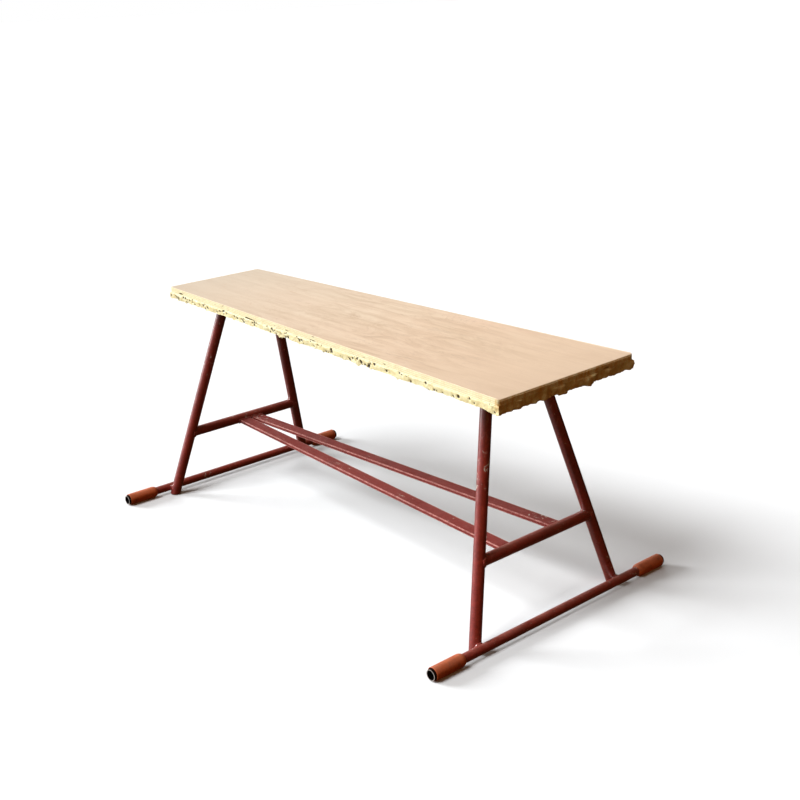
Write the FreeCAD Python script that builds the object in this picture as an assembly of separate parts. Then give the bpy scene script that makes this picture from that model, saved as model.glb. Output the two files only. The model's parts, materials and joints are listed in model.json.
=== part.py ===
import FreeCAD, Part
import math
import os

# Sawhorse: a plywood top bedded on two welded tube trestles, tied by a pair of flat bars. Millimetres.
# +X runs along the top towards its wide end, +Y to the rear, +Z up. The origin is on the floor, under
# the middle of the top. The left trestle stands at -X, under the narrow end.

# Top
topHeight = 598.0            # floor to the walking face of the plywood
boardLength = 1378.0         # along the front edge
boardWidthNarrow = 304.0     # at the left end
boardWidthWide = 439.0       # at the right end
boardEndSkew = 8.0           # the right end is cut out of square: its rear corner stops this much short
boardThickness = 15.0
boardEdgeChamfer = 0.6
crustThickness = 12.0        # hardened bedding layer under the plywood
crustOverhang = 2.0          # squeeze-out past the plywood's edge, all round
crustEdgeRound = 4.0

# Bearers: flat bars under the bedding, one on each trestle
bearerWidth = 40.0
bearerThickness = 6.0
bearerEdgeRound = 1.0

# Legs: round tube. A foot is where the leg's axis meets the floor, a head where it meets the bearer
legDiameter = 28.0
legWall = 2.0
legFootX = 626.0
legFootY = 235.0
legHeadX = 519.0
legHeadY = 81.5
legFloorClearance = 3.0

# Crossbars: round tube from leg to leg
crossbarDiameter = 27.0
crossbarWall = 2.0
crossbarHeight = 187.0

# Base rails: round tube across the outer side of the leg feet. Each end holds a wider socket tube,
# and a thick sleeve grips both
railDiameter = 22.0
railWall = 2.0
railReachLeft = 379.0        # from the middle of the rail to the open end of its socket
railReachRight = 389.0
railInset = 26.0             # the rail stops this far inside the socket's open end
socketWall = 1.8
socketLength = 60.0
socketFit = 0.1              # radial clearance over the rail
socketProud = 6.0            # the socket shows this far past its sleeve
sleeveDiameter = 32.0
sleeveLength = 88.0
sleeveShoulderLength = 12.0  # rounded part at the inner end
sleeveNeckWall = 1.2         # wall left at the end of the shoulder
sleeveFit = 0.1              # radial clearance over the socket and the rail
sleeveMouthDepth = 4.0       # flare inside the outer end, down to the socket
sleeveRimWidth = 1.2
sleeveEdgeRound = 0.8

# Stretchers: flat bars from crossbar to crossbar, close together at the left and wide apart at the right
stretcherWidth = 35.0
stretcherThickness = 10.0
stretcherEdgeRound = 1.5
stretcherFrontLeftY = -4.5
stretcherFrontRightY = -82.0
stretcherRearLeftY = 36.0
stretcherRearRightY = 88.0

# Welds
railWeldGap = 1.5            # root gap between a leg and its rail, filled by the weld
railWeldRadius = 11.5
weldLeg = 2.5                # size of every other bead

# Wood screws, up through a bearer and the bedding into the plywood
screwShankDiameter = 4.5
screwHeadDiameter = 8.5
screwHeadHeight = 3.2
screwBite = 9.0              # depth in the plywood
screwLegClearance = 14.0     # from a leg's side to the screw's axis, along the bearer
screwEdgeDistance = 10.0     # from the outer screw's axis to the bearer's end

# Worked out from the sizes above
boardUnderside = topHeight - boardThickness
crustUnderside = boardUnderside - crustThickness
bearerUnderside = crustUnderside - bearerThickness
legRadius = legDiameter / 2
crossbarRadius = crossbarDiameter / 2
railRadius = railDiameter / 2
railHeight = sleeveDiameter / 2
legLean = math.atan((legFootX - legHeadX) / bearerUnderside)
legToRail = legRadius + railWeldGap + railRadius
screwOffset = legRadius + screwLegClearance
bearerLength = 2 * (legHeadY + screwOffset + screwEdgeDistance)
socketInner = railRadius + socketFit
socketOuter = socketInner + socketWall
railReach = {"left": railReachLeft, "right": railReachRight}
sideX = {"left": -1, "right": 1}
sideY = {"front": -1, "rear": 1}
stretcherEnds = {
    "front": (stretcherFrontLeftY, stretcherFrontRightY),
    "rear": (stretcherRearLeftY, stretcherRearRightY),
}


def point(x, y, z):
    return FreeCAD.Vector(x, y, z)


def rod(start, end, radius):
    run = end - start
    return Part.makeCylinder(radius, run.Length, start, run)


def tube(ends, diameter, wall):
    start, end = ends
    run = end - start
    beyond = run * (wall / run.Length)
    bore = rod(start - beyond, end + beyond, diameter / 2 - wall)
    return rod(start, end, diameter / 2).cut(bore)


def slab(lengthX, widthY, low, high):
    return Part.makeBox(lengthX, widthY, high - low, point(-lengthX / 2, -widthY / 2, low))


def legPoint(x, y, height):
    """Point on a leg's axis at a height, for the leg on the side x (-1 or 1) and y (-1 or 1)."""
    rise = height / bearerUnderside
    alongX = legFootX + (legHeadX - legFootX) * rise
    alongY = legFootY + (legHeadY - legFootY) * rise
    return point(x * alongX, y * alongY, height)


def legRod(x, y, radius):
    """Solid rod on a leg's axis, running past both of its cut ends."""
    return rod(legPoint(x, y, -2 * legDiameter), legPoint(x, y, bearerUnderside + 2 * legDiameter), radius)


def betweenHeights(shape, low, high):
    span = 2 * boardLength
    return shape.common(slab(span, span, low, high))


def leg(x, y):
    hollow = legRod(x, y, legRadius).cut(legRod(x, y, legRadius - legWall))
    return betweenHeights(hollow, legFloorClearance, bearerUnderside)


def crossbarEnds(x):
    return [legPoint(x, y, crossbarHeight) for y in (-1, 1)]


def crossbarRod(x, radius):
    return rod(*crossbarEnds(x), radius)


def crossbar(x):
    hollow = tube(crossbarEnds(x), crossbarDiameter, crossbarWall)
    return hollow.cut([legRod(x, -1, legRadius), legRod(x, 1, legRadius)])


def railPoint(x, y):
    """Point on a base rail's axis: the rail clears the legs' outer sides by the weld's root gap."""
    legX = abs(legPoint(x, 1, railHeight).x)
    return point(x * (legX + legToRail / math.cos(legLean)), y, railHeight)


def baseRail(side):
    half = railReach[side] - railInset
    ends = [railPoint(sideX[side], y * half) for y in (-1, 1)]
    return tube(ends, railDiameter, railWall)


def socket(side, y):
    """Socket tube over a rail's end, open outwards."""
    reach = railReach[side]
    ends = [railPoint(sideX[side], y * along) for along in (reach, reach - socketLength)]
    return tube(ends, 2 * socketOuter, socketWall)


def sleeve(side, y):
    """Thick sleeve: a flared outer mouth, a straight body and a rounded shoulder down to the rail."""
    outer = sleeveDiameter / 2
    overSocket = socketOuter + sleeveFit
    overRail = railRadius + sleeveFit
    neck = overRail + sleeveNeckWall
    step = socketLength - socketProud
    bodyEnd = sleeveLength - sleeveShoulderLength
    drop = outer - neck
    bend = (drop**2 + sleeveShoulderLength**2) / (2 * drop)
    halfTurn = math.asin(sleeveShoulderLength / bend) / 2
    bulge = point(outer - bend + bend * math.cos(halfTurn), bodyEnd + bend * math.sin(halfTurn), 0)
    straight = [
        point(neck, sleeveLength, 0),
        point(overRail, sleeveLength, 0),
        point(overRail, step, 0),
        point(overSocket, step, 0),
        point(overSocket, sleeveMouthDepth, 0),
        point(outer - sleeveRimWidth, 0, 0),
        point(outer, 0, 0),
        point(outer, bodyEnd, 0),
    ]
    shoulder = Part.Arc(straight[-1], bulge, straight[0]).toShape()
    outline = Part.Wire(Part.makePolygon(straight).Edges + [shoulder])
    ring = Part.Face(outline).revolve(point(0, 0, 0), point(0, 1, 0), 360)
    rim = [e for e in ring.Edges if e.BoundBox.YMax < sleeveFit and e.BoundBox.XMax > outer - sleeveFit]
    ring = ring.makeFillet(sleeveEdgeRound, rim)
    if y > 0:
        ring.rotate(point(0, 0, 0), point(0, 0, 1), 180)
    ring.translate(railPoint(sideX[side], y * (railReach[side] - socketProud)))
    return ring


def roundLongEdges(bar, axis, radius):
    parallel = math.cos(math.radians(2))
    long = [edge for edge in bar.Edges if abs(edge.tangentAt(edge.FirstParameter).dot(axis)) > parallel]
    return bar.makeFillet(radius, long)


def bearer(x):
    bar = slab(bearerWidth, bearerLength, bearerUnderside, crustUnderside)
    bar = roundLongEdges(bar, point(0, 1, 0), bearerEdgeRound)
    bar.translate(point(x * legHeadX, 0, 0))
    return bar.cut(screws(x))


def stretcherBar(row, grow):
    """Flat bar from crossbar axis to crossbar axis, made larger by grow on its sides, top and bottom."""
    leftY, rightY = stretcherEnds[row]
    start = point(-abs(legPoint(1, 1, crossbarHeight).x), leftY, 0)
    end = point(-start.x, rightY, 0)
    run = end - start
    turn = math.degrees(math.atan2(run.y, run.x))
    overrun = crossbarRadius * abs(run.y) / run.x
    bottom = crossbarHeight - stretcherThickness - grow
    bar = slab(run.Length + 2 * overrun, stretcherWidth + 2 * grow, bottom, crossbarHeight + grow)
    bar = roundLongEdges(bar, point(1, 0, 0), stretcherEdgeRound)
    bar.rotate(point(0, 0, 0), point(0, 0, 1), turn)
    bar.translate((start + end) * 0.5)
    return bar


def insideCrossbars(shape):
    inner = 2 * abs(legPoint(1, 1, crossbarHeight).x)
    return shape.common(slab(inner, 2 * legFootY, 0, topHeight))


def stretcher(row):
    bar = insideCrossbars(stretcherBar(row, 0))
    return bar.cut([crossbarRod(x, crossbarRadius) for x in (-1, 1)])


def screw(x, y):
    """Pan-head screw, head down, its point in the plywood."""
    shankEnd = boardUnderside + screwBite
    headTop = point(x, y, bearerUnderside)
    head = Part.makeCylinder(screwHeadDiameter / 2, screwHeadHeight, headTop, point(0, 0, -1))
    rim = [edge for edge in head.Edges if edge.BoundBox.ZMax < bearerUnderside - screwHeadHeight / 2]
    head = head.makeFillet(screwHeadHeight / 2, rim)
    tipLength = screwShankDiameter
    shank = rod(headTop, point(x, y, shankEnd - tipLength), screwShankDiameter / 2)
    tip = Part.makeCone(screwShankDiameter / 2, 0, tipLength, point(x, y, shankEnd - tipLength))
    return head.fuse([shank, tip]).removeSplitter()


def screws(x):
    places = [y * (legHeadY + offset) for y in (-1, 1) for offset in (-screwOffset, screwOffset)]
    return Part.makeCompound([screw(x * legHeadX, y) for y in places])


def allScrews():
    return [screws(x) for x in (-1, 1)]


def topOutline(grow):
    """Wire of the plywood's tapering outline, made larger by grow all round."""
    half = boardLength / 2
    narrow = boardWidthNarrow / 2
    wide = boardWidthWide / 2
    corners = [(-half, -narrow), (half, -wide), (half - boardEndSkew, wide), (-half, narrow)]
    places = [point(x, y, 0) for x, y in corners]
    wire = Part.makePolygon(places + places[:1])
    return wire.makeOffset2D(grow, 2) if grow else wire


def topSlab(grow, low, high):
    plate = Part.Face(topOutline(grow)).extrude(point(0, 0, high - low))
    plate.translate(point(0, 0, low))
    return plate


def edgesAtHeight(shape, height):
    near = boardEdgeChamfer / 4
    boxes = [(edge, edge.BoundBox) for edge in shape.Edges]
    return [edge for edge, box in boxes if box.ZMin > height - near and box.ZMax < height + near]


def topBoard():
    plate = topSlab(0, boardUnderside, topHeight)
    plate = plate.makeChamfer(boardEdgeChamfer, edgesAtHeight(plate, topHeight))
    return plate.cut(allScrews())


def edgeCrust():
    plate = topSlab(crustOverhang, crustUnderside, boardUnderside)
    plate = plate.makeFillet(crustEdgeRound, edgesAtHeight(plate, crustUnderside))
    return plate.cut(allScrews())


def railWelds(x):
    """Weld in the crevice where each leg passes its rail, filling the root gap."""
    toRail = point(x * math.cos(legLean), 0, math.sin(legLean))
    beads = []
    for y in (-1, 1):
        crossing = legPoint(x, y, railHeight - legToRail * toRail.z)
        middle = crossing + toRail * (legRadius + railWeldGap / 2)
        ball = Part.makeSphere(railWeldRadius, middle)
        rail = rod(railPoint(x, -railReachLeft), railPoint(x, railReachLeft), railRadius)
        beads.append(ball.cut([legRod(x, y, legRadius), rail]))
    return Part.makeCompound(beads)


def crossbarWelds(x):
    """A bead right round each coped end of a crossbar."""
    around = crossbarRod(x, crossbarRadius + weldLeg)
    beads = []
    for y in (-1, 1):
        bead = around.common(legRod(x, y, legRadius + weldLeg))
        beads.append(bead.cut([legRod(x, y, legRadius), crossbarRod(x, crossbarRadius)]))
    return Part.makeCompound(beads)


def bearerWelds(x):
    """A bead round the head of each leg, against the bearer's underside."""
    beads = []
    for y in (-1, 1):
        ring = legRod(x, y, legRadius + weldLeg).cut(legRod(x, y, legRadius))
        beads.append(betweenHeights(ring, bearerUnderside - weldLeg, bearerUnderside))
    return Part.makeCompound(beads)


def stretcherWelds(x):
    """A bead round the end of each stretcher, against the crossbar's inner side."""
    front, rear = [insideCrossbars(stretcherBar(row, weldLeg)) for row in stretcherEnds]
    beads = front.fuse(rear).common(crossbarRod(x, crossbarRadius + weldLeg))
    bars = [stretcherBar(row, 0) for row in stretcherEnds]
    return beads.cut([crossbarRod(x, crossbarRadius)] + bars)


def allParts():
    parts = {"top_board": topBoard(), "edge_crust": edgeCrust()}
    for side, x in sideX.items():
        parts["bearer_" + side] = bearer(x)
        parts["board_screws_" + side] = screws(x)
        parts["crossbar_" + side] = crossbar(x)
        parts["base_rail_" + side] = baseRail(side)
        parts["rail_welds_" + side] = railWelds(x)
        parts["crossbar_welds_" + side] = crossbarWelds(x)
        parts["bearer_welds_" + side] = bearerWelds(x)
        parts["stretcher_welds_" + side] = stretcherWelds(x)
        for row, y in sideY.items():
            parts["leg_" + side + "_" + row] = leg(x, y)
            parts["socket_" + side + "_" + row] = socket(side, y)
            parts["sleeve_" + side + "_" + row] = sleeve(side, y)
    for row in stretcherEnds:
        parts["stretcher_" + row] = stretcher(row)
    return parts


os.makedirs("parts", exist_ok=True)
for name, shape in allParts().items():
    shape.exportStep("parts/" + name + ".step")
    state = "valid" if shape.isValid() else "INVALID"
    print(name, len(shape.Solids), "solid(s)", round(shape.Volume), "mm3", state)
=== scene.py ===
import json
import math
import random

import bmesh
import bpy
from mathutils import Matrix, Vector
from mathutils.kdtree import KDTree


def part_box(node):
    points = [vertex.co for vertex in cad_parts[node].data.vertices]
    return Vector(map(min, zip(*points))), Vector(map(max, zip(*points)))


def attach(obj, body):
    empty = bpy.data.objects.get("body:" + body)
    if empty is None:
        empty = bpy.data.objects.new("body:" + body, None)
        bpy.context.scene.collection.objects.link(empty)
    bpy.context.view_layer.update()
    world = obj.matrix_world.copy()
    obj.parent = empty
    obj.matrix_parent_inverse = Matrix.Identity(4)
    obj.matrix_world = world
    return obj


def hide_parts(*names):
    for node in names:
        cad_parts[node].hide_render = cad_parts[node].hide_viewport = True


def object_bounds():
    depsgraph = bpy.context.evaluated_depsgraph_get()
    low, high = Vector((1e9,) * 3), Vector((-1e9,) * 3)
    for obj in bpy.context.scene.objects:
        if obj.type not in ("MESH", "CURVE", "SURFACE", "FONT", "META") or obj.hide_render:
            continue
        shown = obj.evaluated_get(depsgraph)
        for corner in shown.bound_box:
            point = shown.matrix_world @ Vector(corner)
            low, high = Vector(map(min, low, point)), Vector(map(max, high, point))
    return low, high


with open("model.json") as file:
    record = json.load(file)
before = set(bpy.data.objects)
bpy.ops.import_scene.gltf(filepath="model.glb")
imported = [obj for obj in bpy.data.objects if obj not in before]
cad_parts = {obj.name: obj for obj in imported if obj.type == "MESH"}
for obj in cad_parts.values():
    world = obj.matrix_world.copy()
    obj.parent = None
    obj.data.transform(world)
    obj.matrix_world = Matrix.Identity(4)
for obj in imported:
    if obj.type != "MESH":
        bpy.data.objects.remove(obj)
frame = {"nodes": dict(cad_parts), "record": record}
cadLow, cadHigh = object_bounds()
nodes = frame["nodes"]
print("frame loaded:", len(nodes), "CAD nodes")

mergeDistance = 0.000005
sameLevel = 0.00001  # heights closer than this are one level


# working with the mesh as by hand

def deselectAll():
    for thing in bpy.context.selected_objects:
        thing.select_set(False)


def makeActive(piece):
    deselectAll()
    piece.select_set(True)
    bpy.context.view_layer.objects.active = piece


def newPiece(name):
    piece = bpy.context.object
    piece.name = name
    piece.data.name = name
    return piece


def applyPlace(piece):
    makeActive(piece)
    bpy.ops.object.transform_apply(location=True, rotation=True, scale=True)


def editMode(piece):
    makeActive(piece)
    bpy.ops.object.mode_set(mode="EDIT")
    bpy.ops.mesh.select_mode(type="VERT")
    bpy.ops.mesh.select_all(action="DESELECT")
    return bmesh.from_edit_mesh(piece.data)


def objectMode():
    bpy.ops.object.mode_set(mode="OBJECT")


def pick(piece, kind, test):
    # selects the vertices, edges or faces that pass the test, and nothing else
    mesh = bmesh.from_edit_mesh(piece.data)
    bpy.ops.mesh.select_mode(type=kind)
    bpy.ops.mesh.select_all(action="DESELECT")
    group = {"VERT": mesh.verts, "EDGE": mesh.edges, "FACE": mesh.faces}[kind]
    for item in group:
        if test(item):
            item.select_set(True)
    mesh.select_flush_mode()
    bmesh.update_edit_mesh(piece.data)


def edgeRuns(edge, axis):
    # true where an edge lies mostly along the axis
    run = edge.verts[1].co - edge.verts[0].co
    return abs(run[axis]) > 0.9 * run.length


def addModifier(piece, kind, **settings):
    modifier = piece.modifiers.new(kind.title(), kind)
    for key, value in settings.items():
        setattr(modifier, key, value)
    return modifier


def applyModifiers(piece):
    makeActive(piece)
    for modifier in list(piece.modifiers):
        bpy.ops.object.modifier_apply(modifier=modifier.name)


def cloudTexture(name, size, depth, contrast=1.0):
    texture = bpy.data.textures.new(name, "CLOUDS")
    texture.noise_scale = size
    texture.noise_depth = depth
    texture.contrast = contrast
    return texture


def cellTexture(name, size):
    texture = bpy.data.textures.new(name, "VORONOI")
    texture.noise_scale = size
    texture.noise_intensity = 1.2
    return texture


def smoothStep(share):
    return share * share * (3 - 2 * share)


def recalculateNormals(piece):
    editMode(piece)
    bpy.ops.mesh.select_all(action="SELECT")
    bpy.ops.mesh.remove_doubles(threshold=mergeDistance)
    bpy.ops.mesh.normals_make_consistent(inside=False)
    objectMode()


def cadCopy(nodeName, name):
    # a free copy of a CAD node's mesh, its loose triangles joined
    piece = bpy.data.objects.new(name, nodes[nodeName].data.copy())
    bpy.context.scene.collection.objects.link(piece)
    piece.data.name = name
    piece.data.materials.clear()
    editMode(piece)
    bpy.ops.mesh.select_all(action="SELECT")
    bpy.ops.mesh.remove_doubles(threshold=mergeDistance)
    bpy.ops.mesh.normals_make_consistent(inside=False)
    bpy.ops.mesh.customdata_custom_splitnormals_clear()
    objectMode()
    return piece


def settle(piece, material, replaced):
    piece.data.materials.clear()
    piece.data.materials.append(material)
    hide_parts(*replaced)
    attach(piece, "root")
    print("piece done:", piece.name, len(piece.data.polygons), "faces")


# the materials: every pattern reads Object coordinates, in metres

class Shader:
    # one material and short calls for its nodes
    def __init__(self, name):
        self.material = bpy.data.materials.new(name)
        self.material.use_nodes = True
        self.tree = self.material.node_tree
        self.surface = self.tree.nodes["Principled BSDF"]
        self.place = self.tree.nodes.new("ShaderNodeTexCoord").outputs["Object"]

    def node(self, kind, **settings):
        made = self.tree.nodes.new(kind)
        for key, value in settings.items():
            setattr(made, key, value)
        return made

    def link(self, source, target):
        self.tree.links.new(source, target)

    def stretched(self, scale, turn=(0, 0, 0)):
        mapping = self.node("ShaderNodeMapping")
        mapping.inputs["Scale"].default_value = scale
        mapping.inputs["Rotation"].default_value = turn
        self.link(self.place, mapping.inputs["Vector"])
        return mapping.outputs["Vector"]

    def noise(self, scale, detail=4.0, roughness=0.55, distortion=0.0, vector=None):
        made = self.node("ShaderNodeTexNoise")
        made.inputs["Scale"].default_value = scale
        made.inputs["Detail"].default_value = detail
        made.inputs["Roughness"].default_value = roughness
        made.inputs["Distortion"].default_value = distortion
        self.link(vector or self.place, made.inputs["Vector"])
        return made.outputs["Fac"]

    def cells(self, scale):
        made = self.node("ShaderNodeTexVoronoi")
        made.inputs["Scale"].default_value = scale
        self.link(self.place, made.inputs["Vector"])
        return made.outputs["Distance"]

    def ramp(self, factor, stops):
        # stops: (place, colour) pairs, where a colour may be one number for grey
        made = self.node("ShaderNodeValToRGB")
        band = made.color_ramp
        while len(band.elements) < len(stops):
            band.elements.new(0.5)
        for element, (position, colour) in zip(band.elements, stops):
            element.position = position
            element.color = (colour,) * 3 + (1,) if isinstance(colour, (int, float)) else (*colour, 1)
        self.link(factor, made.inputs["Fac"])
        return made.outputs["Color"]

    def mix(self, factor, first, second):
        made = self.node("ShaderNodeMix", data_type="RGBA")
        sockets = (made.inputs["Factor"], made.inputs[6], made.inputs[7])
        for socket, value in zip(sockets, (factor, first, second)):
            if isinstance(value, (int, float)):
                socket.default_value = value
            elif isinstance(value, tuple):
                socket.default_value = (*value, 1)
            else:
                self.link(value, socket)
        return made.outputs[2]

    def math(self, operation, first, second=0.0, clamp=False):
        made = self.node("ShaderNodeMath", operation=operation, use_clamp=clamp)
        for socket, value in zip(made.inputs, (first, second)):
            if isinstance(value, (int, float)):
                socket.default_value = value
            else:
                self.link(value, socket)
        return made.outputs["Value"]

    def split(self, vector):
        made = self.node("ShaderNodeSeparateXYZ")
        self.link(vector, made.inputs["Vector"])
        return made.outputs

    def normal(self):
        return self.node("ShaderNodeNewGeometry").outputs["Normal"]

    def edge(self, reach):
        # 0 on flat and gently curved faces, up to 1 along an outer or inner edge
        rounded = self.node("ShaderNodeBevel", samples=6)
        rounded.inputs["Radius"].default_value = reach
        turn = self.node("ShaderNodeVectorMath", operation="DOT_PRODUCT")
        self.link(rounded.outputs["Normal"], turn.inputs[0])
        self.link(self.normal(), turn.inputs[1])
        away = self.math("SUBTRACT", 1.0, turn.outputs["Value"])
        return self.ramp(away, [(0.012, 0.0), (0.08, 1.0)])

    def paintedEndShade(self, start):
        # painted shade: the right end is darkened, blotchy, strongest in streaks that run down it
        blotch = self.noise(70, 5, 0.65, 0.4, self.stretched((1, 1, 0.45)))
        place = self.split(self.place)["X"]
        onEnd = self.math("MULTIPLY", self.math("SUBTRACT", place, start), 250.0, clamp=True)
        return self.math("MULTIPLY", onEnd, self.ramp(blotch, [(0.42, 1.0), (0.60, 0.1)]))

    def bump(self, height, distance, strength=1.0, below=None):
        made = self.node("ShaderNodeBump")
        made.inputs["Distance"].default_value = distance
        made.inputs["Strength"].default_value = strength
        self.link(height, made.inputs["Height"])
        if below:
            self.link(below, made.inputs["Normal"])
        return made.outputs["Normal"]

    def finish(self, colour, roughness, normal, **plain):
        self.link(colour, self.surface.inputs["Base Color"])
        self.link(roughness, self.surface.inputs["Roughness"])
        self.link(normal, self.surface.inputs["Normal"])
        for key, value in plain.items():
            self.surface.inputs[key.replace("_", " ")].default_value = value
        return self.material


def redOxidePaint(name, look):
    # old semi-gloss red oxide, faded and dusty in places, scratched, chipped to primer and steel
    s = Shader(name)
    broad = s.noise(look["patchScale"], 5, 0.6, 0.4)
    colour = s.ramp(broad, [(0.3, look["deep"]), (0.52, look["mid"]), (0.74, look["faded"])])
    fine = s.noise(180, 6, 0.7)
    colour = s.mix(0.5, colour, s.ramp(fine, [(0.38, look["deep"]), (0.66, look["faded"])]))
    up = s.split(s.normal())["Z"]
    patchy = s.ramp(s.noise(26, 6, 0.7), [(0.3, 0.1), (0.7, 1.0)])
    dustPlace = s.math("MULTIPLY", s.ramp(up, [(0.35, 0.0), (0.95, 1.0)]), patchy)
    colour = s.mix(s.math("MULTIPLY", dustPlace, look["dust"]), colour, look["dustColour"])
    scratchField = s.noise(38, 3, 0.5, 1.8, s.stretched((1, 1, 0.18), (0.5, 0.3, 0.2)))
    scratch = s.ramp(s.math("ABSOLUTE", s.math("SUBTRACT", scratchField, 0.5)), [(0.0, 1.0), (0.006, 0.0)])
    scratch = s.math("MULTIPLY", scratch, s.ramp(s.noise(14, 3), [(0.52, 0.0), (0.6, 1.0)]))
    colour = s.mix(s.math("MULTIPLY", scratch, 0.45), colour, look["scratchColour"])
    broken = s.ramp(s.noise(70, 5, 0.7), [(0.36, 0.1), (0.58, 1.0)])
    wornEdge = s.math("MULTIPLY", s.edge(look["edgeReach"]), broken)
    colour = s.mix(s.math("MULTIPLY", wornEdge, look["edgeWear"]), colour, look["worn"])
    chipField = s.noise(95, 5, 0.65, 0.6)
    chipArea = s.ramp(s.noise(9, 2), [(0.42, 0.0), (0.7, 0.14)])
    chipDepth = s.math("ADD", chipField, chipArea)
    start = look["chipStart"]
    chip = s.ramp(chipDepth, [(start, 0.0), (start + 0.015, 1.0)])
    rim = s.ramp(chipDepth, [(start - 0.025, 0.0), (start, 1.0)])
    colour = s.mix(s.math("MULTIPLY", rim, 0.5), colour, look["primer"])
    colour = s.mix(chip, colour, look["bare"])
    rough = s.ramp(s.noise(60, 5, 0.6), [(0.3, look["gloss"]), (0.75, look["gloss"] + 0.2)])
    rough = s.mix(s.math("MULTIPLY", dustPlace, 0.6), rough, (0.8, 0.8, 0.8))
    runs = s.bump(s.noise(30, 3, 0.5, 0.0, s.stretched((1, 1, 0.3))), 0.0008, 0.35)
    peel = s.bump(s.noise(420, 3, 0.6), 0.0003, 0.4, runs)
    edge = s.bump(s.math("SUBTRACT", 1.0, chip), 0.0003, 0.8, peel)
    return s.finish(colour, rough, edge, Specular_IOR_Level=look["shine"],
                    Coat_Weight=look["coat"], Coat_IOR=look["coatIor"], Coat_Roughness=look["coatRough"],
                    Sheen_Weight=look["sheen"], Sheen_Roughness=look["sheenRough"],
                    Sheen_Tint=look["sheenTint"])


paint = {
    "deep": (0.105, 0.005, 0.003),
    "mid": (0.21, 0.012, 0.008),
    "faded": (0.37, 0.037, 0.023),
    "dustColour": (0.46, 0.20, 0.155),
    "scratchColour": (0.55, 0.33, 0.27),
    "primer": (0.38, 0.14, 0.09),
    "bare": (0.50, 0.42, 0.36),
    "worn": (0.60, 0.27, 0.22),
    "edgeWear": 0.5,
    "edgeReach": 0.0025,
    "dust": 0.4,
    "patchScale": 11.0,
    "chipStart": 0.725,
    "gloss": 0.26,
    "coat": 1.0,
    "coatIor": 1.7,
    "coatRough": 0.3,
    "shine": 1.0,
    "sheen": 0.04,
    "sheenRough": 0.35,
    "sheenTint": (1.0, 0.72, 0.68, 1.0),
}
weldLook = dict(paint, patchScale=60.0, chipStart=0.71, dust=0.3)
# on the stretcher bars the pale worn edges are wide and strong: partly edge wear, partly painted highlights
# along the bars' edges; their up-facing faces take a darker grey-brown dust
barLook = dict(paint, dust=0.2, dustColour=(0.24, 0.12, 0.11), faded=(0.21, 0.035, 0.025), gloss=0.45,
               coat=0.0, shine=0.5, edgeWear=0.95, edgeReach=0.005, worn=(0.86, 0.42, 0.36))


def sleeveRubber(look):
    # orange-brown moulded sleeve, streaked and grimy, dusty where it faces up
    s = Shader("sleeveRubber")
    broad = s.noise(22, 5, 0.6, 0.3)
    colour = s.ramp(broad, [(0.28, look["dark"]), (0.5, look["mid"]), (0.75, look["light"])])
    along = s.noise(120, 4, 0.6, 0.2, s.stretched((1, 0.12, 1)))
    colour = s.mix(0.3, colour, s.ramp(along, [(0.35, look["dark"]), (0.65, look["light"])]))
    grime = s.ramp(s.noise(55, 6, 0.75), [(0.52, 0.0), (0.68, 0.7)])
    colour = s.mix(grime, colour, look["grime"])
    up = s.ramp(s.split(s.normal())["Z"], [(0.2, 0.0), (0.95, 0.55)])
    colour = s.mix(s.math("MULTIPLY", up, s.noise(40, 4)), colour, look["dust"])
    rough = s.ramp(s.noise(70, 5, 0.6), [(0.3, 0.36), (0.7, 0.62)])
    ridges = s.bump(along, 0.0006, 0.4)
    pores = s.bump(s.noise(520, 4, 0.6), 0.00025, 0.5, ridges)
    return s.finish(colour, rough, pores, Specular_IOR_Level=0.5)


sleeveLook = {
    "dark": (0.30, 0.048, 0.012),
    "mid": (0.46, 0.085, 0.022),
    "light": (0.60, 0.135, 0.04),
    "grime": (0.15, 0.035, 0.014),
    "dust": (0.62, 0.28, 0.18),
}


def socketSteel():
    # bare cut tube, dull, with rust freckles
    s = Shader("socketSteel")
    colour = s.ramp(s.noise(90, 5, 0.6), [(0.3, (0.66, 0.60, 0.56)), (0.7, (0.86, 0.81, 0.77))])
    rust = s.ramp(s.noise(150, 6, 0.7), [(0.56, 0.0), (0.64, 0.8)])
    colour = s.mix(rust, colour, (0.18, 0.065, 0.028))
    rimFace = s.ramp(s.math("ABSOLUTE", s.split(s.normal())["Y"]), [(0.5, 0.0), (0.7, 1.0)])
    # painted shade: only the cut rim keeps the steel colour, every other face, the bore with it, is painted
    # near black
    colour = s.mix(rimFace, (0.02, 0.014, 0.011), colour)
    rough = s.ramp(s.noise(200, 4), [(0.3, 0.3), (0.7, 0.55)])
    return s.finish(colour, rough, s.bump(s.noise(700, 3), 0.0001, 0.5), Metallic=0.75)


def screwSteel():
    # zinc-plated screw heads, dulled
    s = Shader("screwSteel")
    colour = s.ramp(s.noise(260, 5, 0.6), [(0.3, (0.36, 0.35, 0.32)), (0.7, (0.58, 0.57, 0.54))])
    rust = s.ramp(s.noise(420, 5, 0.7), [(0.58, 0.0), (0.66, 0.7)])
    colour = s.mix(rust, colour, (0.17, 0.07, 0.03))
    rough = s.ramp(s.noise(500, 4), [(0.3, 0.28), (0.7, 0.5)])
    return s.finish(colour, rough, s.bump(s.noise(1500, 3), 0.00005, 0.5), Metallic=0.85)


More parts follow.
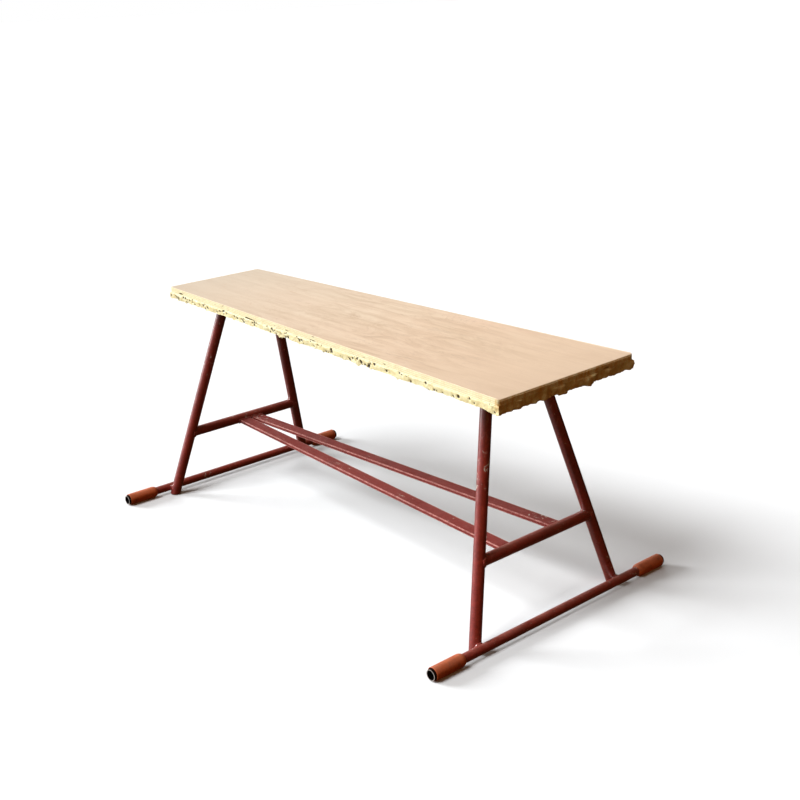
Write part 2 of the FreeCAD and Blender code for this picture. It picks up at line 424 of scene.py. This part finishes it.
def plywoodVeneer(look, low, high):
    # pale veneer with fine long grain and scuffs on its faces, glued plies on its edges, with gaps between
    # them painted near black as painted shade
    s = Shader("plywoodVeneer")
    grain = s.noise(52, 7, 0.62, 0.5, s.stretched((0.055, 1, 1)))
    pores = s.noise(420, 5, 0.6, 0.0, s.stretched((0.035, 1, 1)))
    face = s.ramp(grain, [(0.28, look["dark"]), (0.5, look["mid"]), (0.74, look["pale"])])
    tone = s.noise(2.6, 4, 0.5, 0.6, s.stretched((0.7, 1.8, 1)))
    figure = s.noise(16, 6, 0.68, 1.6, s.stretched((0.35, 1, 1), (0, 0, -0.12)))
    face = s.mix(s.ramp(figure, [(0.34, 0.9), (0.5, 0.0)]), face, look["dark"])
    face = s.mix(s.ramp(figure, [(0.53, 0.0), (0.70, 0.9)]), face, look["pale"])
    face = s.mix(s.ramp(tone, [(0.35, 0.0), (0.65, 0.6)]), face, look["pink"])
    face = s.mix(s.ramp(pores, [(0.56, 0.0), (0.70, 0.22)]), face, look["pore"])
    scuff = s.noise(17, 7, 0.72, 0.9, s.stretched((0.5, 1, 1), (0, 0, 0.3)))
    face = s.mix(s.ramp(scuff, [(0.56, 0.0), (0.70, 0.30)]), face, look["scuff"])
    # painted shade: the top turns greyer and darker towards its left end
    away = s.ramp(s.math("ADD", s.split(s.place)["X"], 0.7), [(0.0, look["fade"]), (0.95, 0.0)])
    face = s.mix(away, face, look["weathered"])
    streak = s.noise(60, 5, 0.75, 1.2, s.stretched((0.16, 1, 1), (0, 0, 0.1)))
    face = s.mix(s.ramp(streak, [(0.58, 0.0), (0.70, 0.6)]), face, look["streak"])
    lineField = s.noise(8, 4, 0.6, 2.6, s.stretched((0.8, 1.2, 1)))
    lines = s.ramp(s.math("ABSOLUTE", s.math("SUBTRACT", lineField, 0.5)), [(0.0, 1.0), (0.010, 0.0)])
    lines = s.math("MULTIPLY", lines, s.ramp(s.noise(5, 3), [(0.48, 0.0), (0.58, 0.55)]))
    face = s.mix(lines, face, look["streak"])
    spots = s.ramp(s.cells(24), [(0.03, 0.35), (0.075, 0.0)])
    spots = s.math("MULTIPLY", spots, s.ramp(s.noise(6, 2), [(0.5, 0.0), (0.6, 1.0)]))
    face = s.mix(spots, face, look["spot"])
    paintedLightRight = s.ramp(s.split(s.place)["X"], [(0.27, 0.0), (0.56, look["clean"])])
    face = s.mix(paintedLightRight, face, look["bleached"])  # painted light: the right half is paler
    height = s.split(s.place)["Z"]
    ply = s.math("DIVIDE", s.math("SUBTRACT", height, low), (high - low) / look["plies"])
    alternate = s.math("GREATER_THAN", s.math("MODULO", ply, 2.0), 1.0)
    endGrain = s.noise(260, 5, 0.65, 0.0, s.stretched((1, 1, 0.3)))
    light = s.ramp(endGrain, [(0.3, look["plyPale"]), (0.7, look["plyPaler"])])
    dark = s.ramp(endGrain, [(0.3, look["plyDark"]), (0.7, look["plyMid"])])
    layers = s.mix(alternate, light, dark)
    toLine = s.math("ABSOLUTE", s.math("SUBTRACT", s.math("FRACT", s.math("ADD", ply, 0.5)), 0.5))
    glue = s.ramp(toLine, [(0.05, 1.0), (0.11, 0.0)])
    glueFade = s.ramp(s.noise(45, 4), [(0.38, 0.15), (0.58, 0.9)])
    layers = s.mix(s.math("MULTIPLY", glue, glueFade), layers, look["glue"])
    # the gaps between plies are painted near black: painted shade in the voids
    gap = s.ramp(s.noise(60, 3, 0.5, 0.3, s.stretched((0.35, 0.35, 2.2))), [(0.66, 0.0), (0.69, 1.0)])
    layers = s.mix(gap, layers, look["gap"])
    # painted shade on the edges near the right end
    stain = s.paintedEndShade(look["stainStart"])
    layers = s.mix(stain, layers, look["stain"])
    flat = s.ramp(s.math("ABSOLUTE", s.split(s.normal())["Z"]), [(0.55, 0.0), (0.75, 1.0)])
    topPly = s.math("SUBTRACT", s.math("MULTIPLY", ply, 0.5), 2.4, clamp=True)
    arris = s.math("MULTIPLY", s.edge(look["arris"]), topPly, clamp=True)
    colour = s.mix(arris, s.mix(flat, layers, face), look["worn"])
    rough = s.ramp(s.noise(34, 6, 0.65), [(0.3, 0.75), (0.7, 0.95)])
    woodBump = s.bump(pores, 0.0002, 0.35, s.bump(grain, 0.0004, 0.3))
    edgeBump = s.bump(s.math("SUBTRACT", endGrain, gap), 0.0009, 0.8, woodBump)
    choose = s.node("ShaderNodeMix", data_type="VECTOR")
    s.link(flat, choose.inputs["Factor"])
    s.link(edgeBump, choose.inputs[4])
    s.link(woodBump, choose.inputs[5])
    return s.finish(colour, rough, choose.outputs[1], Specular_IOR_Level=0.0)


plywoodLook = {
    "plies": 7,
    "dark": (0.61, 0.455, 0.315),
    "mid": (0.74, 0.58, 0.425),
    "pale": (0.81, 0.665, 0.505),
    "pink": (0.785, 0.59, 0.44),
    # the painted shade towards the left end: its colour, and its strength at that end
    "weathered": (0.47, 0.405, 0.325),
    "fade": 0.9,
    # the painted light on the right half: its colour and its strength
    "bleached": (0.88, 0.69, 0.51),
    "clean": 0.72,
    "streak": (0.50, 0.37, 0.27),
    "pore": (0.46, 0.31, 0.20),
    "scuff": (0.48, 0.36, 0.26),
    "spot": (0.34, 0.24, 0.16),
    "plyPale": (0.725, 0.685, 0.45),
    "plyPaler": (0.77, 0.755, 0.56),
    "plyMid": (0.725, 0.665, 0.41),
    "plyDark": (0.68, 0.56, 0.31),
    "glue": (0.34, 0.21, 0.08),
    # near black: painted shade in the gaps between plies
    "gap": (0.04, 0.025, 0.012),
    # the colour of the painted shade on the right end, and where it begins
    "stain": (0.56, 0.35, 0.125),
    "stainStart": 0.676,
    "arris": 0.006,
    "worn": (0.82, 0.68, 0.48),
}


def hardenedBedding(look):
    # amber, foamed bedding compound: glossy lumps, with pits between them painted near black as painted shade
    s = Shader("hardenedBedding")
    lumps = s.noise(75, 6, 0.65, 0.5)
    colour = s.ramp(lumps, [(0.28, look["dark"]), (0.48, look["mid"]), (0.68, look["pale"])])
    tone = s.noise(11, 4, 0.5)
    colour = s.mix(s.ramp(tone, [(0.4, 0.0), (0.62, 0.5)]), colour, look["amber"])
    # the bubbles, voids and marked pits are painted near black: painted shade in the holes
    bubbles = s.cells(210)
    pits = s.ramp(bubbles, [(0.08, 1.0), (0.17, 0.0)])
    pits = s.math("MULTIPLY", pits, s.ramp(s.noise(40, 3), [(0.54, 0.0), (0.62, 1.0)]))
    voids = s.ramp(s.noise(120, 4, 0.6, 0.2), [(0.69, 0.0), (0.72, 1.0)])
    mark = s.node("ShaderNodeAttribute", attribute_name="pitMark").outputs["Fac"]
    ragged = s.math("ADD", mark, s.math("MULTIPLY", s.math("SUBTRACT", s.noise(300, 4, 0.6), 0.5), 0.3))
    holes = s.math("MAXIMUM", s.math("MAXIMUM", pits, voids), s.ramp(ragged, [(0.24, 0.0), (0.32, 1.0)]))
    # painted shade on the right end
    colour = s.mix(s.paintedEndShade(look["stainStart"]), colour, look["stain"])
    colour = s.mix(s.math("MULTIPLY", holes, 0.95), colour, look["pit"])
    rough = s.ramp(s.noise(95, 4), [(0.3, 0.32), (0.7, 0.62)])
    deep = s.bump(lumps, 0.004, 0.6)
    froth = s.bump(s.noise(330, 5, 0.65), 0.0012, 0.6, deep)
    pitted = s.bump(s.math("SUBTRACT", 1.0, holes), 0.0018, 0.9, froth)
    return s.finish(colour, rough, pitted, Specular_IOR_Level=0.5)


beddingLook = {
    "dark": (0.52, 0.39, 0.16),
    "mid": (0.67, 0.60, 0.33),
    "pale": (0.75, 0.725, 0.495),
    "amber": (0.70, 0.59, 0.285),
    # near black: painted shade in the pits
    "pit": (0.028, 0.016, 0.007),
    # the colour of the painted shade on the right end, and where it begins
    "stain": (0.56, 0.355, 0.125),
    "stainStart": 0.676,
}

topLow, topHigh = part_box("top_board")
materials = {
    "frame_paint": redOxidePaint("redOxidePaint", paint),
    "weld_paint": redOxidePaint("weldPaint", weldLook),
    "sleeve_rubber": sleeveRubber(sleeveLook),
    "socket_steel": socketSteel(),
    "screw_steel": screwSteel(),
    "plywood": plywoodVeneer(plywoodLook, topLow.z, topHigh.z),
    "bedding": hardenedBedding(beddingLook),
}
barPaint = redOxidePaint("barPaint", barLook)

for entry in frame["record"]["subparts"]:
    isBar = entry["node"].startswith("stretcher") and "welds" not in entry["node"]
    chosen = barPaint if isBar else materials[entry["material_slot"]]
    for materialSlot in nodes[entry["node"]].material_slots:
        materialSlot.material = chosen
print("materials on the CAD nodes:", len(materials) + 1)


# the plywood top

def plateCorners(nodeName):
    # the four corners of a CAD plate's outline, by the side each is on
    places = [v.co.copy() for v in nodes[nodeName].data.vertices]
    sides = [(x, y) for x in (-1, 1) for y in (-1, 1)]
    return {(x, y): max(places, key=lambda p: x * p.x + y * p.y) for x, y in sides}


def taperedPlate(name, nodeName):
    # a cube stretched to the plate's box, each corner moved to the plate's own
    low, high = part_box(nodeName)
    bpy.ops.mesh.primitive_cube_add(size=1, location=(low + high) / 2)
    plate = newPiece(name)
    plate.scale = high - low
    applyPlace(plate)
    editMode(plate)
    for (x, y), corner in plateCorners(nodeName).items():
        pick(plate, "VERT", lambda v: v.co.x * x > 0 and v.co.y * y > 0)
        start = Vector((high.x if x > 0 else low.x, high.y if y > 0 else low.y, 0))
        bpy.ops.transform.translate(value=(corner.x - start.x, corner.y - start.y, 0))
    objectMode()
    return plate


plywood = {
    "cornerRadius": 0.007,
    "cornerSegments": 6,
    "edgeRadius": 0.0009,
    "edgeSegments": 2,
    "glueGroove": 0.00035,
    "glueLineWidth": 0.0007,
    "step": 0.006,
    "spans": 16,  # the long edges are cut into these first
    "wholeEdge": 1.0,  # longer edges are still in one piece
    "longEdge": 0.02,  # longer edges are still uncut
    "wear": 0.0009,
    "wearSize": 0.03,
    "wearDetail": 3,
    "wornEnd": 0.009,  # the right end's upper arris is worn round
    "wornDepth": 0.006,
    "wornDrop": 0.0016,
    "smoothAngle": 40,
}


def makePlywoodTop():
    plies = plywoodLook["plies"]
    corners = plateCorners("top_board")

    def endX(y):
        # where the out-of-square right end lies at this y
        front, rear = corners[(1, -1)], corners[(1, 1)]
        return front.x + (rear.x - front.x) * (y - front.y) / (rear.y - front.y)

    thickness = topHigh.z - topLow.z
    plate = taperedPlate("plywoodTop", "top_board")
    editMode(plate)
    pick(plate, "EDGE", lambda e: edgeRuns(e, 2))
    bpy.ops.mesh.bevel(offset=plywood["cornerRadius"], segments=plywood["cornerSegments"])
    sideFaces = lambda f: abs(f.normal.z) < 0.5
    longCuts = round((topHigh.x - topLow.x) / plywood["step"])
    pick(plate, "EDGE", lambda e: edgeRuns(e, 0) and e.calc_length() > plywood["wholeEdge"])
    bpy.ops.mesh.subdivide(number_cuts=plywood["spans"] - 1)
    pick(plate, "FACE", lambda f: abs(f.normal.z) > 0.5)
    bpy.ops.mesh.dissolve_faces()
    pick(plate, "EDGE", lambda e: edgeRuns(e, 0) and e.calc_length() > plywood["longEdge"])
    bpy.ops.mesh.subdivide(number_cuts=round(longCuts / plywood["spans"]) - 1)
    pick(plate, "EDGE", lambda e: edgeRuns(e, 1) and e.calc_length() > plywood["longEdge"])
    bpy.ops.mesh.subdivide(number_cuts=round(2 * topHigh.y / plywood["step"]))
    levels = [topLow.z + thickness * index / plies for index in range(1, plies)]
    for level in levels:
        for offset in (-1, 0, 1):
            pick(plate, "FACE", sideFaces)
            height = level + offset * plywood["glueLineWidth"] / 2
            bpy.ops.mesh.bisect(plane_co=(0, 0, height), plane_no=(0, 0, 1))
    pick(plate, "VERT", lambda v: any(abs(v.co.z - level) < sameLevel for level in levels))
    bpy.ops.transform.shrink_fatten(value=-plywood["glueGroove"])
    pick(plate, "EDGE", lambda e: all(abs(v.co.z - topHigh.z) < sameLevel for v in e.verts))
    bpy.ops.mesh.bevel(offset=plywood["edgeRadius"], segments=plywood["edgeSegments"])
    pick(plate, "VERT", lambda v: v.co.z > topHigh.z - plywood["wornDepth"]
         and v.co.x > endX(v.co.y) - plywood["wornEnd"])
    roundOver = bmesh.from_edit_mesh(plate.data)
    for v in roundOver.verts:
        if v.select:
            outward = 1 - (endX(v.co.y) - v.co.x) / plywood["wornEnd"]
            upward = 1 - (topHigh.z - v.co.z) / plywood["wornDepth"]
            v.co.z -= plywood["wornDrop"] * max(0.0, outward) ** 2
            v.co.x -= plywood["wornDrop"] * max(0.0, upward) ** 2
    bmesh.update_edit_mesh(plate.data)
    objectMode()
    rim = plate.vertex_groups.new(name="rim")
    rim.add([v.index for v in plate.data.vertices], 1.0, "REPLACE")
    wear = cloudTexture("edgeWear", plywood["wearSize"], plywood["wearDetail"])
    addModifier(plate, "DISPLACE", texture=wear, strength=plywood["wear"], mid_level=1.0, vertex_group="rim")
    applyModifiers(plate)
    recalculateNormals(plate)
    makeActive(plate)
    bpy.ops.object.shade_smooth_by_angle(angle=math.radians(plywood["smoothAngle"]))
    settle(plate, materials["plywood"], ["top_board"])


makePlywoodTop()


# the hardened bedding under the plywood

bedding = {
    "seed": 7,
    "stepX": 0.0028,
    "stepY": 0.0042,
    "rows": 7,
    "inset": 0.0012,  # the side starts this far inside the CAD outline, near the plywood's edge
    "topInset": 0.0008,
    "topSkin": 0.0005,  # the flat upper face stays as it is
    "rimDrop": 0.0040,
    "endDrop": 0.0075,  # further down along the right end
    "endReach": 0.05,  # where the right end's lumps begin, and how fast they grow
    "endFade": 0.04,
    "lipScale": 100,  # metres to vertex weights
    "rimWidth": 0.035,
    "frontLumps": 0.26,
    "lumpSize": 0.030,
    "lump": 0.0085,
    "curdSize": 0.010,
    "curd": 0.0036,
    "grainSize": 0.004,
    "grain": 0.0014,
    "contrast": 1.6,
    "lumpLevel": 0.62,
    "grainLevel": 0.6,
    "rimReach": 0.012,  # pits and drips start this near the edge
    "endClear": 0.012,  # and pits this far from the right end
    "topShare": 0.1,
    "sideNormal": 0.6,
    "bottomNormal": -0.4,
    "pits": 210,
    "pitRadius": (0.0031, 0.0054),
    "pitDepth": 0.0045,
    "drips": 60,
    "dripRadius": (0.005, 0.012),
    "dripDepth": 0.0055,
    "cornerBulge": 0.0002,
    "cornerReach": 0.060,
    "smoothAngle": 70,
}


def paintSpots(piece, name, centres, rng, radii):
    # a vertex group that is strong at each centre and fades out round it
    tree = KDTree(len(piece.data.vertices))
    for v in piece.data.vertices:
        tree.insert(v.co, v.index)
    tree.balance()
    share = {}
    for centre in centres:
        radius = rng.uniform(*radii)
        weight = rng.uniform(0.6, 1.0)
        for place, index, distance in tree.find_range(centre, radius):
            fade = 1 - distance / radius
            share[index] = max(share.get(index, 0.0), weight * smoothStep(fade))
    group = piece.vertex_groups.new(name=name)
    for index, value in share.items():
        group.add([index], value, "REPLACE")
    return share


def makeBedding():
    rng = random.Random(bedding["seed"])
    low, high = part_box("edge_crust")
    thickness = high.z - low.z
    corners = plateCorners("edge_crust")
    bpy.ops.mesh.primitive_grid_add(
        x_subdivisions=round((high.x - low.x) / bedding["stepX"]),
        y_subdivisions=round((high.y - low.y) / bedding["stepY"]), size=2, location=(0, 0, high.z))
    crust = newPiece("hardenedBedding")
    applyPlace(crust)

    def spread(u, v):
        # from the square -1..1 to the plate's outline, started a little inside it
        place = Vector((0, 0, 0))
        for (x, y), corner in corners.items():
            place += (1 + x * u) * (1 + y * v) / 4 * corner
        place.x -= u * bedding["inset"]
        place.y -= v * bedding["inset"]
        return place

    for v in crust.data.vertices:
        place = spread(v.co.x, v.co.y)
        v.co = (place.x, place.y, high.z)
    editMode(crust)
    bpy.ops.mesh.select_all(action="SELECT")
    bpy.ops.mesh.extrude_region_move(TRANSFORM_OT_translate={"value": (0, 0, -thickness)})
    pick(crust, "EDGE", lambda e: edgeRuns(e, 2))
    bpy.ops.mesh.subdivide(number_cuts=bedding["rows"] - 1)
    pick(crust, "FACE", lambda f: abs(f.calc_center_median().z - high.z) < sameLevel * 10)
    bpy.ops.mesh.dissolve_faces()
    pick(crust, "VERT", lambda v: abs(v.co.z - high.z) < sameLevel * 10)
    narrower = [(topHigh[axis] - bedding["topInset"]) / high[axis] for axis in (0, 1)]
    bpy.ops.transform.resize(value=(*narrower, 1), center_override=(0, 0, high.z))
    objectMode()
    recalculateNormals(crust)

    def fromEdge(place):
        # how far inside the plate's outline a place is
        along = (place.x - low.x) / (high.x - low.x)
        front, back = [corners[(-1, y)].y + (corners[(1, y)].y - corners[(-1, y)].y) * along for y in (-1, 1)]
        end = high.x - (corners[(1, -1)].x - corners[(1, 1)].x) * (place.y - low.y) / (high.y - low.y)
        return min(place.x - low.x, end - place.x, place.y - front, back - place.y)

    loose = crust.vertex_groups.new(name="loose")
    lip = crust.vertex_groups.new(name="lip")
    for v in crust.data.vertices:
        if v.co.z > high.z - bedding["topSkin"]:
            continue
        atEnd = min(1.0, max(0.0, (v.co.x - high.x + bedding["endReach"]) / bedding["endFade"]))
        lumps = bedding["frontLumps"] + (1 - bedding["frontLumps"]) * atEnd
        inner = min(1.0, fromEdge(v.co) / bedding["rimWidth"])
        loose.add([v.index], max(lumps, inner), "REPLACE")
        depth = (high.z - v.co.z) / thickness
        drop = bedding["rimDrop"] + bedding["endDrop"] * atEnd
        lip.add([v.index], smoothStep(1 - inner) * depth * drop * bedding["lipScale"], "REPLACE")
    addModifier(crust, "DISPLACE", direction="Z", strength=-1 / bedding["lipScale"], mid_level=0.0,
                vertex_group="lip")
    for name, depth in (("lump", 1), ("curd", 2)):
        texture = cloudTexture(name, bedding[name + "Size"], depth, bedding["contrast"])
        addModifier(crust, "DISPLACE", texture=texture, strength=bedding[name],
                    mid_level=bedding["lumpLevel"], vertex_group="loose")
    grain = cellTexture("grain", bedding["grainSize"])
    addModifier(crust, "DISPLACE", texture=grain, strength=bedding["grain"], mid_level=bedding["grainLevel"],
                vertex_group="loose")
    applyModifiers(crust)

    upper = high.z - bedding["topShare"] * thickness
    pitEnd = high.x - bedding["endClear"]
    rim = [v for v in crust.data.vertices if fromEdge(v.co) < bedding["rimReach"] and v.co.z < upper]
    sides = [v.co.copy() for v in rim if abs(v.normal.z) < bedding["sideNormal"] and v.co.x < pitEnd]
    bottom = [v.co.copy() for v in rim if v.normal.z < bedding["bottomNormal"]]
    for places in (sides, bottom):  # the mesh's own order changes from run to run, the places don't
        places.sort(key=lambda place: tuple(round(value, 5) for value in place))
    print("bedding rim:", len(sides), "side and", len(bottom), "bottom places")
    pits = paintSpots(crust, "pit", rng.sample(sides, bedding["pits"]), rng, bedding["pitRadius"])
    paintSpots(crust, "drip", rng.sample(bottom, bedding["drips"]), rng, bedding["dripRadius"])
    rearCorner = Vector((corners[(1, 1)].x, corners[(1, 1)].y, (low.z + high.z) / 2))
    paintSpots(crust, "corner", [rearCorner], rng, (bedding["cornerReach"], bedding["cornerReach"]))
    for group, direction, strength in (
            ("corner", "X", bedding["cornerBulge"]), ("corner", "Y", bedding["cornerBulge"]),
            ("pit", "NORMAL", -bedding["pitDepth"]), ("drip", "Z", -bedding["dripDepth"])):
        addModifier(crust, "DISPLACE", direction=direction, strength=strength, mid_level=0.0,
                    vertex_group=group)
    applyModifiers(crust)
    mark = crust.data.attributes.new("pitMark", "FLOAT", "POINT")
    for index, value in pits.items():
        mark.data[index].value = value
    for v in crust.data.vertices:  # nothing stands out of the CAD outline's ends
        v.co.x = min(high.x, max(low.x, v.co.x))
    makeActive(crust)
    bpy.ops.object.shade_smooth_by_angle(angle=math.radians(bedding["smoothAngle"]))
    settle(crust, materials["bedding"], ["edge_crust"])


makeBedding()


# the weld beads

welds = {
    "voxel": 0.0008,
    "ripple": 0.0016,
    "rippleSize": 0.0028,
    "lump": 0.0016,
    "lumpSize": 0.008,
    "level": 0.45,
    "smooth": 3,
    "smoothFactor": 0.6,
}


def makeWelds(nodeName):
    words = nodeName.split("_")
    name = words[0] + "".join(word.title() for word in words[1:])
    bead = cadCopy(nodeName, name)
    addModifier(bead, "REMESH", mode="VOXEL", voxel_size=welds["voxel"])
    addModifier(bead, "SMOOTH", factor=welds["smoothFactor"], iterations=welds["smooth"])
    for key in ("lump", "ripple"):
        addModifier(bead, "DISPLACE", texture=cloudTexture(name + key, welds[key + "Size"], 1),
                    strength=welds[key], mid_level=welds["level"])
    applyModifiers(bead)
    makeActive(bead)
    bpy.ops.object.shade_smooth()
    settle(bead, materials["weld_paint"], [nodeName])


for nodeName in sorted(nodes):
    if "welds" in nodeName:
        makeWelds(nodeName)


# the screws

screw = {
    "headRadius": 0.00425,
    "headHeight": 0.0032,
    "shankRadius": 0.00225,
    "recessLength": 0.0046,
    "recessWidth": 0.0011,
    "recessDepth": 0.0019,
    "threadPitch": 0.0021,
    "threadDepth": 0.0004,
    "tipShare": 0.15,
    "headRound": 0.6,
    "turnStep": 37,  # each screw stopped at its own angle
    "smoothAngle": 35,
}


def modelScrew(low, high):
    # one screw, head down, standing at the middle of the frame
    underHead = low.z + screw["headHeight"]
    bpy.ops.mesh.primitive_cylinder_add(
        vertices=32, radius=screw["headRadius"], depth=screw["headHeight"],
        location=(0, 0, low.z + screw["headHeight"] / 2))
    head = newPiece("screwHead")
    applyPlace(head)
    editMode(head)
    pick(head, "EDGE", lambda e: all(v.co.z < low.z + 0.0001 for v in e.verts))
    bpy.ops.mesh.bevel(offset=screw["headHeight"] * screw["headRound"], segments=5)
    objectMode()
    for turn in (0, 90):
        bpy.ops.mesh.primitive_cube_add(size=1, location=(0, 0, low.z))
        cutter = newPiece("recessCutter")
        cutter.scale = (screw["recessLength"], screw["recessWidth"], 2 * screw["recessDepth"])
        cutter.rotation_euler.z = math.radians(turn)
        applyPlace(cutter)
        addModifier(head, "BOOLEAN", operation="DIFFERENCE", object=cutter, solver="EXACT")
        applyModifiers(head)
        bpy.data.objects.remove(cutter)
    shankLength = high.z - underHead
    bpy.ops.mesh.primitive_cone_add(
        vertices=20, radius1=screw["shankRadius"], radius2=screw["shankRadius"] * screw["tipShare"],
        depth=shankLength, location=(0, 0, underHead + shankLength / 2))
    shank = newPiece("screwShank")
    applyPlace(shank)
    editMode(shank)
    pick(shank, "EDGE", lambda e: edgeRuns(e, 2) or abs(e.verts[0].co.z - e.verts[1].co.z) > 0.01)
    turns = round(shankLength / screw["threadPitch"]) * 2
    bpy.ops.mesh.subdivide(number_cuts=turns)
    levels = [underHead + shankLength * (n + 1) / (turns + 1) for n in range(0, turns, 2)]
    pick(shank, "VERT", lambda v: any(abs(v.co.z - level) < 0.0002 for level in levels))
    bpy.ops.transform.shrink_fatten(value=-screw["threadDepth"])
    objectMode()
    makeActive(head)
    shank.select_set(True)
    bpy.ops.object.join()
    return head


def makeScrews(nodeName):
    low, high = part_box(nodeName)
    pattern = modelScrew(low, high)
    side = "Left" if "left" in nodeName else "Right"
    x = (low.x + high.x) / 2
    tips = [v.co for v in nodes[nodeName].data.vertices if abs(v.co.z - high.z) < 0.0003]
    rows = sorted({round(tip.y, 3) for tip in tips})
    for number, y in enumerate(rows, 1):
        makeActive(pattern)
        bpy.ops.object.duplicate()
        copy = newPiece("boardScrew" + side + str(number))
        copy.rotation_euler.z = math.radians(screw["turnStep"] * number)
        copy.location = (x, y, 0)
        applyPlace(copy)
        bpy.ops.object.shade_smooth_by_angle(angle=math.radians(screw["smoothAngle"]))
        settle(copy, materials["screw_steel"], [nodeName])
    bpy.data.objects.remove(pattern)


for nodeName in ("board_screws_left", "board_screws_right"):
    makeScrews(nodeName)


# floor, light and camera

studio = {
    "floorSize": 120.0,
    "floorColour": (0.795, 0.82, 0.838),
    "worldBright": 0.22,
    "worldDark": 0.03,
    "worldWarm": (1.0, 0.52, 0.2),
    "worldAzimuth": -50.0,
    "worldElevation": 20.0,
    "worldSpread": (-0.4, 0.9),
    "lightDistance": 4.0,
    "lights": (  # name, azimuth, elevation, strength, angle
        ("windowLight", -13.0, 51.0, 2.75, 30.0),
        ("lowLight", -60.0, 19.0, 4.4, 24.0),
        ("rearLight", -125.0, 20.0, 0.9, 34.0),
    ),
    "fill": ("warmFill", 74.0, 9.0, 0.50, 60.0),
    "fillColour": (1.0, 0.45, 0.12),
}


def makeFloor():
    bpy.ops.mesh.primitive_plane_add(size=studio["floorSize"], location=(0, 0, cadLow.z))
    floor = newPiece("floor")
    s = Shader("studioFloor")
    paler = tuple(channel * 1.02 for channel in studio["floorColour"])
    tone = s.ramp(s.noise(3, 3), [(0.3, studio["floorColour"]), (0.7, paler)])
    rough = s.ramp(s.noise(20), [(0, 0.9), (1, 0.95)])
    texture = s.bump(s.noise(300), 0.0001, 0.1)
    floor.data.materials.append(s.finish(tone, rough, texture, Specular_IOR_Level=0.1))
    floor.visible_diffuse = False  # the sky below the horizon stands in for its bounce
    floor.visible_glossy = False


def directionTo(azimuth, elevation):
    # towards a light or the camera: azimuth 0 is in front of the object, and negative is to its left
    a = math.radians(azimuth)
    e = math.radians(elevation)
    return Vector((math.sin(a) * math.cos(e), -math.cos(a) * math.cos(e), math.sin(e)))


def makeSun(name, azimuth, elevation, strength, angle):
    bpy.ops.object.light_add(type="SUN", location=directionTo(azimuth, elevation) * studio["lightDistance"])
    sun = bpy.context.object
    sun.name = name
    sun.rotation_euler = directionTo(azimuth, elevation).to_track_quat("Z", "Y").to_euler()
    sun.data.energy = strength
    sun.data.angle = math.radians(angle)
    return sun


def makeWorld():
    # brighter towards the key light, dim behind the object
    world = bpy.data.worlds.new("studioWorld")
    bpy.context.scene.world = world
    world.use_nodes = True
    tree = world.node_tree
    background = tree.nodes["Background"]
    direction = tree.nodes.new("ShaderNodeTexCoord").outputs["Generated"]
    toKey = tree.nodes.new("ShaderNodeVectorMath")
    toKey.operation = "DOT_PRODUCT"
    toKey.inputs[1].default_value = directionTo(studio["worldAzimuth"], studio["worldElevation"])
    tree.links.new(direction, toKey.inputs[0])
    spread = tree.nodes.new("ShaderNodeMapRange")
    spread.interpolation_type = "SMOOTHSTEP"
    spread.inputs["From Min"].default_value = studio["worldSpread"][0]
    spread.inputs["From Max"].default_value = studio["worldSpread"][1]
    strength = tree.nodes.new("ShaderNodeMapRange")
    strength.inputs["To Min"].default_value = studio["worldDark"]
    strength.inputs["To Max"].default_value = studio["worldBright"]
    tree.links.new(spread.outputs["Result"], strength.inputs["Value"])
    tint = tree.nodes.new("ShaderNodeMix")
    tint.data_type = "RGBA"
    tint.inputs[6].default_value = (*studio["worldWarm"], 1)
    tint.inputs[7].default_value = (1, 1, 1, 1)
    tree.links.new(spread.outputs["Result"], tint.inputs["Factor"])
    tree.links.new(toKey.outputs["Value"], spread.inputs["Value"])
    seen = tree.nodes.new("ShaderNodeLightPath").outputs["Is Camera Ray"]
    choose = tree.nodes.new("ShaderNodeMix")
    choose.inputs["B"].default_value = 1.0
    tree.links.new(seen, choose.inputs["Factor"])
    tree.links.new(strength.outputs["Result"], choose.inputs["A"])
    tree.links.new(choose.outputs["Result"], background.inputs["Strength"])
    white = tree.nodes.new("ShaderNodeMix")
    white.data_type = "RGBA"
    white.inputs[7].default_value = (1, 1, 1, 1)
    tree.links.new(seen, white.inputs["Factor"])
    tree.links.new(tint.outputs[2], white.inputs[6])
    tree.links.new(white.outputs[2], background.inputs["Color"])


view = {
    "azimuth": 49.40,
    "elevation": 18.85,
    "roll": -1.93,
    "distance": 3.0731,
    "aim": (0.1273, 0.0, 0.4099),
    "lens": 55.16,
    "sensor": 36.0,
    "clipEnd": 400.0,
}


def makeCamera():
    back = directionTo(view["azimuth"], view["elevation"])
    bpy.ops.object.camera_add(location=Vector(view["aim"]) + back * view["distance"])
    camera = bpy.context.object
    camera.name = "mainCamera"
    level = back.to_track_quat("Z", "Y").to_matrix()
    camera.rotation_euler = (level @ Matrix.Rotation(math.radians(view["roll"]), 3, "Z")).to_euler()
    camera.data.lens = view["lens"]
    camera.data.sensor_width = view["sensor"]
    camera.data.clip_end = view["clipEnd"]
    bpy.context.scene.camera = camera


makeFloor()
makeWorld()
for light in studio["lights"]:
    sun = makeSun(*light)
    sun.visible_glossy = light[0] == "lowLight"  # the one that shows in the gloss of the paint
fill = makeSun(*studio["fill"])
fill.data.color = studio["fillColour"]
fill.visible_glossy = False
makeCamera()
bpy.context.scene.view_settings.view_transform = "Standard"
print("floor, lights and camera placed")
